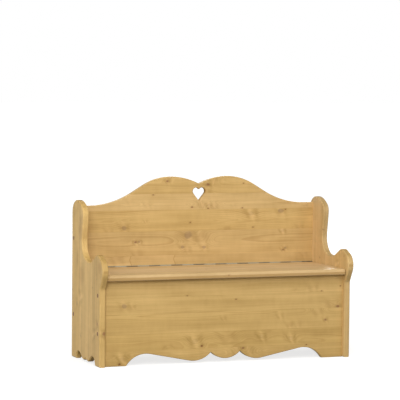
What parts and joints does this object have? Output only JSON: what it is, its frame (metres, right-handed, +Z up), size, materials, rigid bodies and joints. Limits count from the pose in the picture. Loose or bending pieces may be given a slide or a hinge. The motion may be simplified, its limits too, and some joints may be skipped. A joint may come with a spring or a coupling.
{
  "type": "storage settle bench",
  "caption": "Pine settle bench with shaped end panels, a heart cut-out in the high back, a scalloped front and a hinged seat lid over a chest.",
  "frame": {"origin": "on the floor, in the middle of the bench's overall width and depth", "axes": "+X to the right seen from the front, +Y from the front to the back, +Z up"},
  "size_m": [1.3, 0.475, 0.88],
  "materials": {
    "pine_boards": "clear satin varnish on glued pine boards",
    "pine_lid": "clear satin varnish on glued pine boards",
    "pine_hidden_rails": "sawn and planed pine, unfinished",
    "dark_plugs": "dark stained end grain",
    "hinge_steel": "zinc plated rolled strip",
    "screw_steel": "zinc plated"
  },
  "bodies": {
    "chest": {"left_side_board_1": "pine_boards", "left_side_board_2": "pine_boards", "left_side_board_3": "pine_boards", "left_side_board_4": "pine_boards", "right_side_board_1": "pine_boards", "right_side_board_2": "pine_boards", "right_side_board_3": "pine_boards", "right_side_board_4": "pine_boards", "back_board_1": "pine_boards", "back_board_2": "pine_boards", "back_board_3": "pine_boards", "back_board_4": "pine_boards", "back_board_5": "pine_boards", "back_board_6": "pine_boards", "back_board_7": "pine_boards", "back_board_8": "pine_boards", "front_board_1": "pine_boards", "front_board_2": "pine_boards", "front_board_3": "pine_boards", "front_board_4": "pine_boards", "front_board_5": "pine_boards", "chest_floor": "pine_hidden_rails", "floor_cleat_front": "pine_hidden_rails", "floor_cleat_back": "pine_hidden_rails", "floor_cleat_left": "pine_hidden_rails", "floor_cleat_right": "pine_hidden_rails", "seat_bearer_back": "pine_hidden_rails", "seat_bearer_left": "pine_hidden_rails", "seat_bearer_right": "pine_hidden_rails", "left_plugs": "dark_plugs", "right_plugs": "dark_plugs", "left_panel_screws": "screw_steel", "right_panel_screws": "screw_steel", "bearer_screws": "screw_steel", "hinge_screws_back": "screw_steel", "hinge_leaf_back": "hinge_steel", "hinge_pin": "hinge_steel"},
    "lid": {"lid_board_1": "pine_lid", "lid_board_2": "pine_lid", "lid_board_3": "pine_lid", "lid_board_4": "pine_lid", "lid_batten_left": "pine_hidden_rails", "lid_batten_right": "pine_hidden_rails", "lid_batten_screws": "screw_steel", "hinge_screws_lid": "screw_steel", "hinge_leaf_lid": "hinge_steel"}
  },
  "joints": [
    {"name": "lid_hinge", "type": "hinge", "parent": "chest", "child": "lid", "pos_m": [0, 0.1937, 0.4405], "axis": [-1, 0, 0], "range_deg": [0, 90]}
  ]
}
